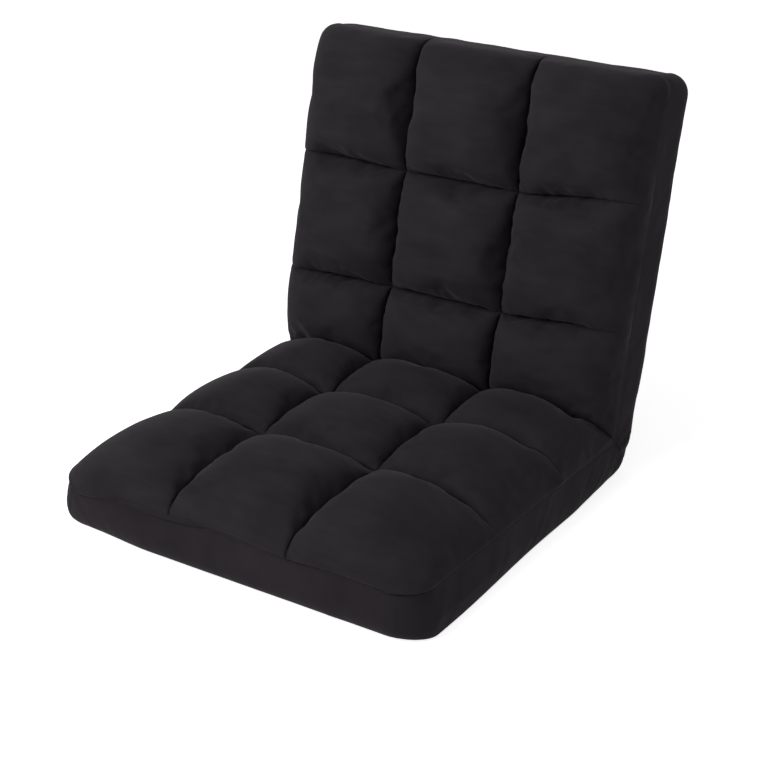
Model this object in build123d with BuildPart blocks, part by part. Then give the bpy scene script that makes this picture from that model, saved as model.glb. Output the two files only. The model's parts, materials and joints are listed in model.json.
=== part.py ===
from build123d import *

import os
from collections import namedtuple
from math import cos, radians, sin, sqrt, tan

# A folding floor chair: a quilted pad in two halves, the seat and the back, each stiffened by a
# bent tube frame with elastic straps. Two ratchet hinges join the frames at the fold.
# Lengths are in millimetres and angles in degrees. The origin lies on the floor under the middle
# of the seat, the front of the chair is towards -Y, and the fold axis runs along X.

# Overall sizes
pad_width = 540.0
seat_length = 505.0  # from the fold axis to the front edge
back_length = 496.0  # from the fold axis to the top edge
axis_height = 45.0  # from the outer face of either half to the fold axis
rest_lean = 12.0  # the back leans this far behind the vertical
recline_travel = 78.0  # from the resting lean down to flat
fold_travel = 48.0  # from the resting lean forwards over the seat
ratchet_step = 6.0  # one position of the back

# Quilted cushion: heights above the fold axis, and the sewn channels
seam_rise = 18.0  # the seam between the border and the quilt
seam_inset = 4.0  # the seam lies this far inside the pad's sides
seat_nose_run = 20.0  # and this far inside the front edge, where the border slopes out
back_nose_run = 1.0  # and this far inside the back's top edge
nose_rise = -25.0  # where the border stands out furthest
channel_rise = 46.0
crown_rise = 91.0
haunch_inset = 18.0  # beside a long channel a pillow has most of its height this far from the stitches
haunch_share = 0.75
front_row_fullness = 0.65  # the front row of the seat is flatter than the other rows
top_row_fullness = 1.0
front_row_fall = 1.0  # power of a far row's fall to its seam: under 1 it stays high for longer
top_row_fall = 0.6
seat_channels = (167.0, 314.0)  # cross channels, measured from the fold axis
back_channels = (155.0, 319.0)
column_channel = 89.0  # the two long channels, each side of the middle
channel_bead = 2.0  # roundness left in the cloth at a cross channel
edge_draw_in = 8.0  # the sides pull in this far at a cross channel
shoulder_inset = 26.0
shoulder_rise = 66.0
shoulder_rise_at_channel = 36.0
side_bulge = 5.0

# Cover, felt and foam
cover_thickness = 1.6
lower_edge_radius = 18.0
seat_corner_radius = 64.0  # front corners of the seat, in plan
seat_seam_radius = 50.0  # the seam round the same corners
back_corner_radius = 36.0  # top corners of the back
back_seam_radius = 28.0
soft_gap = 0.3
side_wall = 30.0  # foam that closes the sides of the fold, outside the hinges
cover_gap = 0.2
sleeve_start = 5.0  # the sleeve outside the fold stays this far below the axis
fold_relief = 1.0  # degrees kept free between the halves when the back is folded forwards
felt_relief = 2.0  # and between their felt sheets
cut_margin = 1.0  # cuts reach this far past what they cut

# Tube frame and straps
tube_radius = 9.5
tube_wall = 1.2
tube_inset = 52.5  # from the side of the pad to the middle of the tube
tube_end_inset = 58.0  # from the far edge of the pad to the middle of the tube
tube_bend_radius = 60.0
tube_start = 64.0  # the tube's open ends, measured from the fold axis
cross_tube_radius = 8.0
cross_tube_place = 128.0
weld_gap = 0.1
strap_width = 50.0
strap_thickness = 1.5
strap_slack = 0.15
strap_first = 188.0
strap_spacing = 80.0
strap_count = 3

# Ratchet hinge
hinge_gap_width = 5.4  # room between the two case plates
plate_thickness = 2.0
gear_thickness = 5.0
case_radius = 36.5
case_clearance = 2.0  # room kept round the hinge in the soft pieces
arm_half_height = 11.0
arm_end = 62.0
tang_length = 44.0
tang_clearance = 0.3
gear_tip_radius = 27.0
tooth_depth = 2.0
tooth_back = 0.35  # the steep flank stands this far behind the middle of its gap
tooth_front = 2.1
tooth_clearance = 0.2
pawl_angle = -50.0  # where the pawl meets the gear, from the seat's own direction
pawl_turn = 270.0  # from that radius to the pawl's own direction
pawl_swing = 5.0
pawl_thickness = 5.0
pawl_root_clearance = 0.25
pawl_tooth_height = 2.4
pawl_arm_width = 4.5
pawl_nose_length = 3.0
pawl_boss_radius = 6.0
pawl_tail_length = 3.0
pawl_tail_height = 4.4
spacer_start = 58.0
spacer_thickness = 5.2
spacer_half_height = 6.0
spring_wire_radius = 0.5
spring_rise = 6.0
spring_bend_radius = 1.5
seat_clearance = 0.2  # spring ends, from what they press on
pivot_radius = 5.0
pin_radius = 2.5
rivet_radius = 2.4
running_clearance = 0.05
pivot_head_radius = 9.0
pin_head_radius = 5.0
rivet_head_radius = 4.5
head_height = 2.0

# Places that follow from the sizes above
half_width = pad_width / 2
seam_width = half_width - seam_inset
tube_x = half_width - tube_inset
frame_room = tube_radius + strap_slack + strap_thickness + soft_gap
open_angle = 90.0 + rest_lean
crease_angle = open_angle / 2
fold_half_angle = (open_angle - fold_travel) / 2
hinge_tunnel = case_radius + case_clearance
tube_bore = tube_radius - tube_wall
tang_end = arm_end + tang_length
rivet_place = (tube_start + tang_end) / 2
gear_root_radius = gear_tip_radius - tooth_depth
nose_radius = gear_root_radius + pawl_root_clearance
pawl_lever = nose_radius * tan(radians(-pawl_angle))
pawl_pivot = nose_radius / cos(radians(pawl_angle))
plate_offset = (hinge_gap_width + plate_thickness) / 2
stack_half = hinge_gap_width / 2 + plate_thickness
stop_count = round(recline_travel / ratchet_step) + 1

fold_axis_point = (0, seat_length / 2, axis_height)
lean_cos = cos(radians(rest_lean))
lean_sin = sin(radians(rest_lean))

# Each half has its own plane through the fold axis: its x runs across the chair, its y away from
# the fold, and its z towards the sitter.
seat = Plane(origin=fold_axis_point, x_dir=(-1, 0, 0), z_dir=(0, 0, 1))
back = Plane(origin=fold_axis_point, x_dir=(1, 0, 0), z_dir=(0, -lean_cos, lean_sin))

Half = namedtuple(
    "Half",
    "name plane length nose_run corner_radius seam_radius channels rows outer_side far_fullness far_fall",
)
seat_half = Half(
    name="seat",
    plane=seat,
    length=seat_length,
    nose_run=seat_nose_run,
    corner_radius=seat_corner_radius,
    seam_radius=seat_seam_radius,
    channels=seat_channels,
    rows=("rear", "middle", "front"),
    outer_side="bottom",
    far_fullness=front_row_fullness,
    far_fall=front_row_fall,
)
back_half = Half(
    name="back",
    plane=back,
    length=back_length,
    nose_run=back_nose_run,
    corner_radius=back_corner_radius,
    seam_radius=back_seam_radius,
    channels=back_channels,
    rows=("lower", "middle", "upper"),
    outer_side="rear",
    far_fullness=top_row_fullness,
    far_fall=top_row_fall,
)


def level_plane(half, rise):
    """A plane along one half, at a height above the fold axis."""
    return half.offset(rise)


def cross_plane(half, place):
    """A plane across one half, with x across the chair and y as height above the fold axis."""
    return Plane(origin=half.origin + half.y_dir * place, x_dir=half.x_dir, z_dir=-half.y_dir)


def side_plane(half, across):
    """A plane along the chair's side, with x away from the fold and y as height above it."""
    centre = Vector(across, half.origin.Y, half.origin.Z)
    return Plane(origin=centre, x_dir=half.y_dir, z_dir=half.x_dir)


def half_outline(plane, width, start, length, radius):
    """One half seen from above: square at the fold, rounded at its far corners."""
    square = length - radius
    with BuildSketch(plane) as outline:
        with BuildLine():
            Polyline((-width, square), (-width, start), (width, start), (width, square))
            CenterArc((width - radius, square), radius, 0, 90)
            Line((width - radius, length), (radius - width, length))
            CenterArc((radius - width, square), radius, 90, 90)
        make_face()
    return outline.sketch


def edge_outline(pad, rise, inset):
    """The outline of one half where its border stands out furthest, drawn in by an inset."""
    plane = level_plane(pad.plane, rise)
    return half_outline(plane, half_width - inset, cover_gap, pad.length - inset, pad.corner_radius - inset)


def seam_outline(pad, rise, start, inset):
    """The outline of the seam between one half's border and its quilt, drawn in by an inset."""
    plane = level_plane(pad.plane, rise)
    seam_length = pad.length - pad.nose_run - inset
    return half_outline(plane, seam_width - inset, start, seam_length, pad.seam_radius - inset)


def lower_block(pad, inset):
    """The lower part of one half, as high as its border stands out, with round lower edges."""
    with BuildPart() as block:
        extrude(edge_outline(pad, inset - axis_height, inset), amount=nose_rise + axis_height - inset)
        lower_face = block.faces().sort_by(Axis(pad.plane.origin, pad.plane.z_dir))[0]
        fold_edge = lower_face.edges().sort_by(Axis(pad.plane.origin, pad.plane.y_dir))[0]
        round_edges = [edge for edge in lower_face.edges() if edge != fold_edge]
        fillet(round_edges, lower_edge_radius - inset)
    return block.part


def border_block(pad, inset):
    """The block that one half's border wraps: its lower part, then sloping in to the seam."""
    with BuildPart() as block:
        add(lower_block(pad, inset))
        low = edge_outline(pad, nose_rise, inset)
        high = seam_outline(pad, seam_rise, cover_gap, inset)
        loft([low, high], ruled=True)
    return block.part


def fold_tunnel(half, reach):
    """The round space about the fold axis that the hinges turn in."""
    with BuildPart() as tunnel:
        with BuildSketch(side_plane(half, 0)):
            Circle(hinge_tunnel)
        extrude(amount=reach, both=True)
    return tunnel.part


def fold_wedge(half):
    """What one half gives up above the fold axis, so that the other can close over it."""
    top = seam_rise + axis_height
    reach = top / tan(radians(fold_half_angle - fold_relief))
    with BuildPart() as wedge:
        with BuildSketch(side_plane(half, 0)):
            Polygon((-cut_margin, 0), (0, 0), (reach, top), (-cut_margin, top), align=None)
        extrude(amount=pad_width, both=True)
    return wedge.part


def fold_cheeks(half):
    """The two ends of a row beside the fold, which reach down to the axis outside the hinges."""
    top = seam_rise + 2 * channel_bead
    near = top / tan(radians(fold_half_angle))
    thickness = side_wall - edge_draw_in - seam_inset
    middle = seam_width - edge_draw_in - thickness / 2
    with BuildPart() as cheeks:
        for across in (-middle, middle):
            with BuildSketch(side_plane(half, across)):
                Polygon((0, 0), (near, top), (0, top), align=None)
            extrude(amount=thickness / 2, both=True)
    return cheeks.part


def pillow_slice(half, place, width, swell, fall):
    """One slice across a row of three pillows, from flat at 0 swell to full at 1.

    The fall brings the whole slice down towards the seam, as at the front edge.
    """
    base = seam_rise + soft_gap

    def rise(height):
        return base + (height - base) * fall

    edge = width - edge_draw_in * (1 - swell)
    shoulder_x = edge - shoulder_inset
    shoulder = rise(shoulder_rise_at_channel + (shoulder_rise - shoulder_rise_at_channel) * swell)
    channel = rise(channel_rise)
    crown = rise(channel_rise + channel_bead + (crown_rise - channel_rise - channel_bead) * swell)
    haunch = channel + (crown - channel) * haunch_share
    outer_middle = (column_channel + shoulder_x) / 2
    outer_haunch = column_channel + haunch_inset
    middle_haunch = column_channel - haunch_inset
    side_middle = (edge + shoulder_x) / 2 + side_bulge * fall
    side_height = (base + shoulder) / 2 + side_bulge * fall
    with BuildSketch(cross_plane(half, place)) as pillow:
        with BuildLine():
            Line((edge, base), (-edge, base))
            ThreePointArc((-edge, base), (-side_middle, side_height), (-shoulder_x, shoulder))
            Spline(
                (-shoulder_x, shoulder),
                (-outer_middle, crown),
                (-outer_haunch, haunch),
                (-column_channel, channel),
            )
            Spline(
                (-column_channel, channel),
                (-middle_haunch, haunch),
                (0, crown),
                (middle_haunch, haunch),
                (column_channel, channel),
            )
            Spline(
                (column_channel, channel),
                (outer_haunch, haunch),
                (outer_middle, crown),
                (shoulder_x, shoulder),
            )
            ThreePointArc((shoulder_x, shoulder), (side_middle, side_height), (edge, base))
        make_face()
    return pillow.sketch


def seam_half_width(pad, place):
    """Half the width between the side seams at a place along the pad, where the far corners are round."""
    into_corner = max(0.0, place - (pad.length - pad.nose_run - pad.seam_radius))
    return seam_width - pad.seam_radius + sqrt(pad.seam_radius**2 - into_corner**2)


# Rows of pillows, as shares of the row's length with their swell, and their fall at an edge
middle_row = (
    (0.0, 0.0),
    (0.1, 0.72),
    (0.3, 0.96),
    (0.5, 1.0),
    (0.7, 0.96),
    (0.9, 0.72),
    (1.0, 0.0),
)
fold_row = ((1.0, 0.0), (0.9, 0.7), (0.66, 1.0), (0.42, 0.85), (0.25, 0.35), (0.05, 0.1))
edge_row = (
    (0.0, 0.0, 1.0),
    (0.09, 0.7, 1.0),
    (0.3, 0.97, 1.0),
    (0.55, 1.0, 0.98),
    (0.8, 0.95, 0.84),
    (0.93, 0.85, 0.62),
    (0.995, 0.7, 0.3),
)

os.makedirs("parts", exist_ok=True)


def finish(piece, name):
    """Name a finished piece and write it to its own file."""
    piece.part.label = name
    export_step(piece.part, f"parts/{name}.step")


# Soft pieces of the two halves
for pad in (seat_half, back_half):
    half = pad.plane
    first_channel, last_channel = pad.channels
    crease_normal = half.z_dir * cos(radians(crease_angle)) - half.y_dir * sin(radians(crease_angle))
    crease = Plane(origin=half.origin - crease_normal * (soft_gap / 2), z_dir=crease_normal)

    # The row beside the fold is squeezed against its opposite row along the crease
    with BuildPart() as fold_cushion:
        slices = []
        for share, swell in fold_row:
            slices.append(pillow_slice(half, first_channel * share, seam_width, swell, 1))
        loft(slices)
        add(fold_tunnel(half, half_width - side_wall), mode=Mode.SUBTRACT)
        add(fold_cheeks(half))
        split(bisect_by=crease, keep=Keep.BOTTOM)
    finish(fold_cushion, f"{pad.name}_{pad.rows[0]}_cushion")

    with BuildPart() as middle_cushion:
        slices = []
        for share, swell in middle_row:
            place = first_channel + (last_channel - first_channel) * share
            slices.append(pillow_slice(half, place, seam_width, swell, 1))
        loft(slices)
    finish(middle_cushion, f"{pad.name}_{pad.rows[1]}_cushion")

    # The row at the far edge comes down to the seam and follows the round corners
    with BuildPart() as edge_cushion:
        slices = []
        for share, swell, fall in edge_row:
            place = last_channel + (pad.length - pad.nose_run - last_channel) * share
            width = seam_half_width(pad, place)
            slices.append(pillow_slice(half, place, width, swell * pad.far_fullness, fall**pad.far_fall))
        loft(slices)
    finish(edge_cushion, f"{pad.name}_{pad.rows[2]}_cushion")

    # A felt sheet keeps the frame and the straps from cutting into the cushions
    core_inset = cover_thickness + soft_gap
    felt_start = seam_rise / tan(radians(fold_half_angle - felt_relief))
    with BuildPart() as felt:
        underside = frame_room + soft_gap
        extrude(seam_outline(pad, underside, felt_start, core_inset), amount=seam_rise - underside)
    finish(felt, f"{pad.name}_felt")

    # The base foam is a tray with the frame lying in its pocket
    rivet_room = tube_radius + running_clearance + head_height + soft_gap
    pocket_half_width = tube_x + max(frame_room, rivet_room)
    pocket_end = pad.length - tube_end_inset + frame_room
    with BuildPart() as base_foam:
        add(lower_block(pad, core_inset))
        extrude(seam_outline(pad, nose_rise, cover_gap, core_inset), amount=frame_room - nose_rise)
        pocket_floor = level_plane(half, -frame_room)
        pocket = half_outline(pocket_floor, pocket_half_width, -cut_margin, pocket_end, tube_bend_radius)
        extrude(pocket, amount=2 * frame_room, mode=Mode.SUBTRACT)
        add(fold_tunnel(half, half_width), mode=Mode.SUBTRACT)
    finish(base_foam, f"{pad.name}_base_foam")

    # The plain border runs round the sides, and one flat panel closes the half
    with BuildPart() as panel:
        outer_face = level_plane(half, -axis_height)
        flat_half_width = half_width - lower_edge_radius
        flat_length = pad.length - lower_edge_radius
        flat_radius = pad.corner_radius - lower_edge_radius
        outline = half_outline(outer_face, flat_half_width, cover_gap, flat_length, flat_radius)
        extrude(outline, amount=cover_thickness)
    finish(panel, f"{pad.name}_{pad.outer_side}_panel")

    with BuildPart() as border:
        add(border_block(pad, 0))
        add(border_block(pad, cover_thickness), mode=Mode.SUBTRACT)
        add(panel.part, mode=Mode.SUBTRACT)
        add(fold_wedge(half), mode=Mode.SUBTRACT)
    finish(border, f"{pad.name}_border")

# Outside the fold the cover goes round the axis in one sleeve
with BuildPart() as fold_cover:
    with BuildSketch(cross_plane(seat, 0)):
        for inset, mode in ((0, Mode.ADD), (cover_thickness, Mode.SUBTRACT)):
            width = half_width - inset
            drop = axis_height - inset
            radius = lower_edge_radius - inset
            side_end = radius - drop
            with BuildLine():
                Line((-width, side_end), (-width, -sleeve_start))
                Line((-width, -sleeve_start), (width, -sleeve_start))
                Line((width, -sleeve_start), (width, side_end))
                CenterArc((width - radius, side_end), radius, 0, -90)
                Line((width - radius, -drop), (radius - width, -drop))
                CenterArc((radius - width, side_end), radius, -90, -90)
            make_face(mode=mode)
    revolve(axis=Axis(fold_axis_point, (1, 0, 0)), revolution_arc=recline_travel)
finish(fold_cover, "fold_cover")

# Tube frames, cross tubes and straps
for pad in (seat_half, back_half):
    half = pad.plane
    tube_end = pad.length - tube_end_inset
    with BuildPart() as frame_tube:
        with BuildLine(level_plane(half, 0)) as bent_path:
            FilletPolyline(
                (-tube_x, tube_start),
                (-tube_x, tube_end),
                (tube_x, tube_end),
                (tube_x, tube_start),
                radius=tube_bend_radius,
            )
        with BuildSketch(cross_plane(half, tube_start)):
            with Locations((-tube_x, 0)):
                Circle(tube_radius)
                Circle(tube_bore, mode=Mode.SUBTRACT)
        sweep(path=bent_path.line)
        with BuildSketch(side_plane(half, 0)):
            with Locations((rivet_place, 0)):
                Circle(rivet_radius + running_clearance)
        extrude(amount=pad_width, both=True, mode=Mode.SUBTRACT)
    finish(frame_tube, f"{pad.name}_frame_tube")

    with BuildPart() as cross_tube:
        with BuildSketch(side_plane(half, 0)):
            with Locations((cross_tube_place, 0)):
                Circle(cross_tube_radius)
                Circle(cross_tube_radius - tube_wall, mode=Mode.SUBTRACT)
        extrude(amount=tube_x, both=True)
        with BuildSketch(cross_plane(half, cross_tube_place)):
            with Locations((-tube_x, 0), (tube_x, 0)):
                Circle(tube_radius + weld_gap)
        extrude(amount=2 * cross_tube_radius, both=True, mode=Mode.SUBTRACT)
    finish(cross_tube, f"{pad.name}_cross_tube")

    for number in range(strap_count):
        strap_inner = tube_radius + strap_slack
        strap_outer = strap_inner + strap_thickness
        with BuildPart() as strap:
            with BuildSketch(cross_plane(half, strap_first + strap_spacing * number)):
                SlotCenterToCenter(2 * tube_x, 2 * strap_outer)
                SlotCenterToCenter(2 * tube_x, 2 * strap_inner, mode=Mode.SUBTRACT)
            extrude(amount=strap_width / 2, both=True)
        finish(strap, f"{pad.name}_strap_{number + 1}")


def rivet(half, across, place, shank_radius, shank_half, head_radius):
    """A rivet across the chair, with a low round head at each end."""
    with BuildPart() as pin:
        with BuildSketch(side_plane(half, across)):
            with Locations((place, 0)):
                Circle(shank_radius)
        extrude(amount=shank_half, both=True)
        for end in (-1, 1):
            head_plane = side_plane(half, across + end * (shank_half + head_height / 2))
            with BuildSketch(head_plane):
                with Locations((place, 0)):
                    Circle(head_radius)
            extrude(amount=head_height / 2, both=True)
        rims = pin.edges().filter_by(GeomType.CIRCLE).sort_by(Axis.X)
        chamfer((rims[0], rims[-1]), head_height / 2)
    return pin.part


# The tubes are riveted to the hinges
for pad in (seat_half, back_half):
    with BuildPart() as tube_rivets:
        for across in (-tube_x, tube_x):
            head_seat = tube_radius + running_clearance
            add(rivet(pad.plane, across, rivet_place, rivet_radius, head_seat, rivet_head_radius))
    finish(tube_rivets, f"{pad.name}_tube_rivets")


def tang_half_height(far_side):
    """Half the height of a tang that goes into the tube, from how far it reaches sideways."""
    return sqrt((tube_bore - tang_clearance) ** 2 - far_side**2)


# The two ratchet hinges. Left and right are the sitter's.
for side_name, side in (("left", 1), ("right", -1)):
    hinge_x = side * tube_x

    for plate_name, outward in (("outer", 1), ("inner", -1)):
        with BuildPart() as case_plate:
            with BuildSketch(side_plane(seat, hinge_x + side * outward * plate_offset)):
                Circle(case_radius)
                Rectangle(arm_end, 2 * arm_half_height, align=(Align.MIN, Align.CENTER))
                Rectangle(tang_end, 2 * tang_half_height(stack_half), align=(Align.MIN, Align.CENTER))
                Circle(pivot_radius + running_clearance, mode=Mode.SUBTRACT)
                with Locations((pawl_pivot, 0)):
                    Circle(pin_radius + running_clearance, mode=Mode.SUBTRACT)
                with Locations((rivet_place, 0)):
                    Circle(rivet_radius + running_clearance, mode=Mode.SUBTRACT)
            extrude(amount=plate_thickness / 2, both=True)
        finish(case_plate, f"{side_name}_hinge_{plate_name}_plate")

    # A bar between the plates fills the arm where it goes into the tube
    with BuildPart() as arm_spacer:
        with BuildSketch(side_plane(seat, hinge_x)):
            with Locations((spacer_start, 0)):
                bar_length = tang_end - spacer_start
                Rectangle(bar_length, 2 * spacer_half_height, align=(Align.MIN, Align.CENTER))
            with Locations((rivet_place, 0)):
                Circle(rivet_radius + running_clearance, mode=Mode.SUBTRACT)
        extrude(amount=spacer_thickness / 2, both=True)
    finish(arm_spacer, f"{side_name}_hinge_spacer")

    # The gear turns with the back: one gap for each position, and a plain rim for folding forwards
    first_gap = open_angle - pawl_angle
    with BuildPart() as gear:
        with BuildSketch(side_plane(back, hinge_x)):
            with BuildLine():
                toothed_start = first_gap - ratchet_step / 2
                toothed_turn = recline_travel + 2 * ratchet_step
                toothed_rim = CenterArc((0, 0), gear_tip_radius, toothed_start, toothed_turn)
                Line((0, 0), toothed_rim @ 0)
                Line(toothed_rim @ 1, (0, 0))
            make_face()
            with PolarLocations(0, stop_count, first_gap, recline_travel, endpoint=True):
                past_tip = gear_tip_radius + tooth_depth
                flank_run = (tooth_back + tooth_front) * (past_tip - gear_root_radius) / tooth_depth
                Polygon(
                    (past_tip, tooth_back),
                    (gear_root_radius, tooth_back),
                    (past_tip, tooth_back - flank_run),
                    align=None,
                    mode=Mode.SUBTRACT,
                )
            Circle(gear_root_radius - pawl_root_clearance)
            Rectangle(arm_end, 2 * arm_half_height, align=(Align.MIN, Align.CENTER))
            tang_height = 2 * tang_half_height(gear_thickness / 2)
            Rectangle(tang_end, tang_height, align=(Align.MIN, Align.CENTER))
            Circle(pivot_radius + running_clearance, mode=Mode.SUBTRACT)
            with Locations((rivet_place, 0)):
                Circle(rivet_radius + running_clearance, mode=Mode.SUBTRACT)
        extrude(amount=gear_thickness / 2, both=True)
    finish(gear, f"{side_name}_ratchet_gear")

    # The pawl lies off the teeth at rest. Its plane runs from its pin to its nose.
    pin_point = seat.origin + seat.y_dir * pawl_pivot + Vector(hinge_x, 0, 0)
    reach_angle = radians(pawl_angle + pawl_turn + pawl_swing)
    reach_dir = seat.y_dir * cos(reach_angle) + seat.z_dir * sin(reach_angle)
    with BuildPart() as pawl:
        with BuildSketch(Plane(origin=pin_point, x_dir=reach_dir, z_dir=seat.x_dir)):
            tooth_face = pawl_lever + tooth_back - tooth_clearance
            tooth_foot = pawl_lever - tooth_front + 2 * tooth_clearance
            nose_end = pawl_lever + pawl_nose_length
            arm_outside = pawl_tooth_height + pawl_arm_width
            Polygon(
                (0, -pawl_boss_radius),
                (pawl_boss_radius, -pawl_boss_radius / 2),
                (pawl_lever - 2 * pawl_boss_radius, pawl_tooth_height),
                (tooth_foot, pawl_tooth_height),
                (tooth_face, 0),
                (tooth_face, pawl_tooth_height),
                (nose_end, pawl_tooth_height),
                (nose_end, arm_outside),
                (pawl_boss_radius, pawl_arm_width),
                (0, pawl_boss_radius),
                align=None,
            )
            Circle(pawl_boss_radius)
            tail_turn = -(pawl_angle + pawl_turn + pawl_swing / 2)
            tail_reach = pawl_boss_radius + pawl_tail_length
            Rectangle(tail_reach, pawl_tail_height, rotation=tail_turn, align=(Align.MIN, Align.CENTER))
            Circle(pin_radius + running_clearance, mode=Mode.SUBTRACT)
        extrude(amount=pawl_thickness / 2, both=True)
    finish(pawl, f"{side_name}_pawl")

    # A bowed wire between the pawl's tail and the spacer snaps the pawl to either side
    with BuildPart() as pawl_spring:
        wire_start = pawl_pivot + tail_reach + seat_clearance + spring_wire_radius
        wire_end = spacer_start - seat_clearance - spring_wire_radius
        with BuildLine(side_plane(seat, hinge_x)) as bow:
            FilletPolyline(
                (wire_start, 0),
                (wire_start, spring_rise),
                (wire_end, spring_rise),
                (wire_end, 0),
                radius=spring_bend_radius,
            )
        with BuildSketch(Plane(origin=bow.line @ 0, z_dir=bow.line % 0)):
            Circle(spring_wire_radius)
        sweep(path=bow.line)
    finish(pawl_spring, f"{side_name}_pawl_spring")

    with BuildPart() as pivot_rivet:
        add(rivet(seat, hinge_x, 0, pivot_radius, stack_half + running_clearance, pivot_head_radius))
    finish(pivot_rivet, f"{side_name}_pivot_rivet")

    with BuildPart() as pawl_pin:
        add(rivet(seat, hinge_x, pawl_pivot, pin_radius, stack_half + running_clearance, pin_head_radius))
    finish(pawl_pin, f"{side_name}_pawl_pin")
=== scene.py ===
# %% [markdown]
# # A folding floor chair
#
# This chair is one long quilted pad with a fold across its middle. Inside lie two bent tubes,
# some elastic straps, foam and two ratchet hinges, and those come from the CAD model. What is
# seen is cloth, so this lesson is about cloth: pillows that swell between sewn channels, a plain
# strip round the sides and a plain panel underneath.

# %% Load the frame
import json
from collections import namedtuple
from math import cos, pi, radians, sin, tan

import bmesh
import bpy
import numpy as np
from mathutils import Matrix, Vector


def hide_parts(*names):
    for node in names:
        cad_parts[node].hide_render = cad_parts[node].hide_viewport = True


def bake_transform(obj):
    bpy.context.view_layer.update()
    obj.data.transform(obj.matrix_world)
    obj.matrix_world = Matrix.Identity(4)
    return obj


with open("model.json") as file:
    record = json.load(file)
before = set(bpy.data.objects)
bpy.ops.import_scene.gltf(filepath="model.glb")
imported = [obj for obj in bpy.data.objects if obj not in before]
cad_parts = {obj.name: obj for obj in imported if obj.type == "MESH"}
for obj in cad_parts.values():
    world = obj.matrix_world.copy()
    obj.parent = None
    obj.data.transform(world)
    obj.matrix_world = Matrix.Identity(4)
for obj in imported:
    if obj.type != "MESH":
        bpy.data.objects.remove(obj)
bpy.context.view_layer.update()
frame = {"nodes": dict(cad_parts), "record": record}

# %% [markdown]
# ## The camera
#
# The picture is taken from the sitter's front left, a little above the back. The lens and the
# place were worked out from the channels and corners of the pad, so the camera is set by numbers
# and not by eye. Its three axes are written as a matrix, with the small roll turned in last.

# %% Camera
camera_turn = radians(34.0)
camera_height = radians(23.8)
camera_roll = radians(0.40)
camera_place = Vector((1.021, -1.4255, 0.937))

forward = Vector(
    (
        -sin(camera_turn) * cos(camera_height),
        cos(camera_turn) * cos(camera_height),
        -sin(camera_height),
    )
)
level_right = forward.cross(Vector((0, 0, 1))).normalized()
level_up = level_right.cross(forward)
right = cos(camera_roll) * level_right + sin(camera_roll) * level_up
up = cos(camera_roll) * level_up - sin(camera_roll) * level_right

camera_data = bpy.data.cameras.new("studio_camera")
camera_data.lens = 70.45
camera_data.sensor_width = 36
camera = bpy.data.objects.new("studio_camera", camera_data)
axes = Matrix((right, up, -forward)).transposed()
camera.matrix_world = Matrix.Translation(camera_place) @ axes.to_4x4()
bpy.context.collection.objects.link(camera)
bpy.context.scene.camera = camera
print("camera at", tuple(round(value, 3) for value in camera_place))

# %% [markdown]
# ## Wires: shader maths as plain Python
#
# A material is a graph of nodes. Drawing it in code line by line hides the idea, so a small class
# wraps one output socket and lets it be added, subtracted and multiplied like a number. Each
# expression then leaves Math nodes behind. All other nodes come from one method, `add`.


# %% The Wire class
class Wire:
    """One output socket of a material's nodes, usable in arithmetic."""

    def __init__(self, tree, socket=None):
        self.tree = tree
        self.socket = socket

    def add(self, kind, settings=None, sockets=None, out=0):
        """A new node: its settings first, then the values or wires of its sockets."""
        node = self.tree.nodes.new(kind)
        for name, value in (settings or {}).items():
            setattr(node, name, value)
        for name, value in (sockets or {}).items():
            if isinstance(value, Wire):
                self.tree.links.new(value.socket, node.inputs[name])
            else:
                node.inputs[name].default_value = value
        return Wire(self.tree, node.outputs[out])

    def maths(self, operation, *values):
        return self.add("ShaderNodeMath", {"operation": operation}, dict(enumerate(values)))

    def __add__(self, other):
        return self.maths("ADD", self, other)

    def __rsub__(self, other):
        return self.maths("SUBTRACT", other, self)

    def __mul__(self, other):
        return self.maths("MULTIPLY", self, other)

    __radd__ = __add__
    __rmul__ = __mul__

    def stretched(self, scale):
        """This position wire with its three axes scaled."""
        return self.add("ShaderNodeMapping", {}, {"Vector": self, "Scale": scale})

    def noise(self, scale, detail=2.0):
        """A cloudy value round one half, read along this position wire."""
        sockets = {"Vector": self, "Scale": scale, "Detail": detail}
        return self.add("ShaderNodeTexNoise", {}, sockets)

    def mix(self, low, high):
        """A colour between two others, by this wire's value."""
        return self.add("ShaderNodeMix", {"data_type": "RGBA"}, {0: self, 6: low, 7: high}, 2)

    def between(self, low, high):
        """This wire's value from low to high, brought to the span from 0 to 1."""
        sockets = {"Value": self, "From Min": low, "From Max": high}
        return self.add("ShaderNodeMapRange", {}, sockets)


def colour(red, green, blue):
    return (red, green, blue, 1.0)


def new_material(name, **constants):
    """A material with its shader, and a wire that carries the place on the piece."""
    material = bpy.data.materials.new(name)
    material.use_nodes = True
    tree = material.node_tree
    shader = tree.nodes["Principled BSDF"]
    for socket, value in constants.items():
        shader.inputs[socket.replace("_", " ")].default_value = value
    return material, shader, Wire(tree).add("ShaderNodeTexCoord", out="Object")


def plug(shader, **wires):
    """Lead wires into a shader's sockets."""
    for socket, wire in wires.items():
        wire.tree.links.new(wire.socket, shader.inputs[socket.replace("_", " ")])


def bump(height, depth, strength=1.0):
    """Small relief from a height wire, with its depth in metres."""
    sockets = {"Height": height, "Distance": depth, "Strength": strength}
    return height.add("ShaderNodeBump", {}, sockets)


def in_picture(tree):
    """1 for the rays that make the picture: seen straight, mirrored or through glass."""
    rays = ("Is Camera Ray", "Is Glossy Ray", "Is Transmission Ray")
    seen, mirrored, through = (Wire(tree).add("ShaderNodeLightPath", out=ray) for ray in rays)
    return seen.maths("MAXIMUM", seen.maths("MAXIMUM", seen, mirrored), through)


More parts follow.
